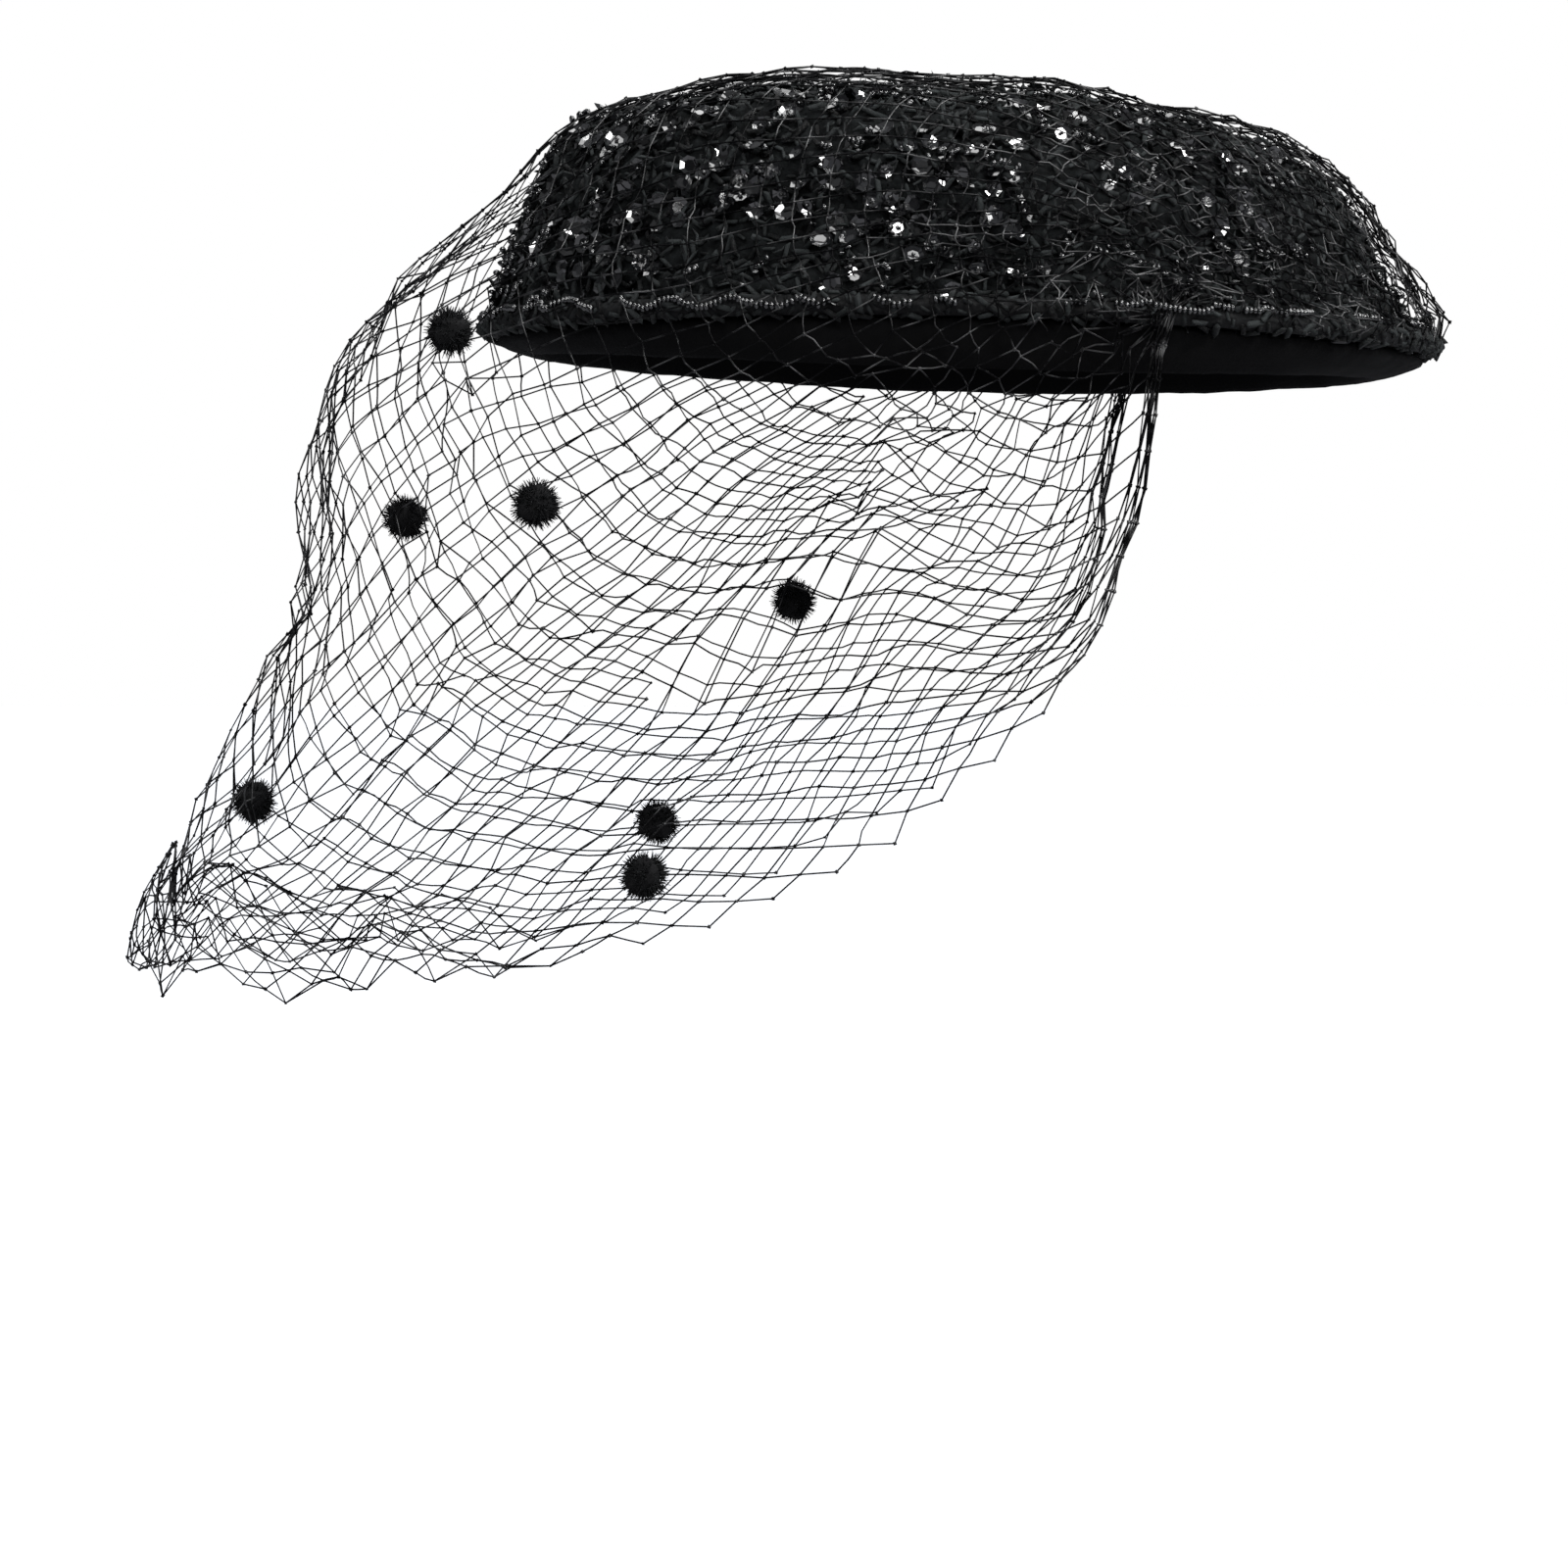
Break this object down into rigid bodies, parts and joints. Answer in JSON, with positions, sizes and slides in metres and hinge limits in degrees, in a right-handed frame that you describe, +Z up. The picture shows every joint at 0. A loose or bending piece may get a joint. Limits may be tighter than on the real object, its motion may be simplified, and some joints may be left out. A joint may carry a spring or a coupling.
{
  "type": "halo hat",
  "caption": "Round pillbox-shaped halo hat in black sequinned lace on a beaded rim, with a dotted diamond-net veil drawn over the crown and hanging over the face.",
  "frame": {"origin": "middle of the head opening, at the height of the band that sits on the head", "axes": "+Z up, the face looks toward -Y, the wearer's left is +X"},
  "size_m": [0.1716, 0.2459, 0.1672],
  "materials": {
    "sequinned_cloth": "glossy cup sequins and seed beads on matt black lace",
    "beaded_roll": "glossy seed beads sewn side by side",
    "band_cloth": "matt short pile",
    "veil_net": "open diamond net of fine glossy thread",
    "chenille": "fuzzy matt pile"
  },
  "bodies": {
    "root": {"crown": "sequinned_cloth", "rim_roll": "beaded_roll", "head_band": "band_cloth", "veil": "veil_net", "dot_01": "chenille", "dot_02": "chenille", "dot_03": "chenille", "dot_04": "chenille", "dot_05": "chenille", "dot_06": "chenille", "dot_07": "chenille"}
  },
  "joints": []
}
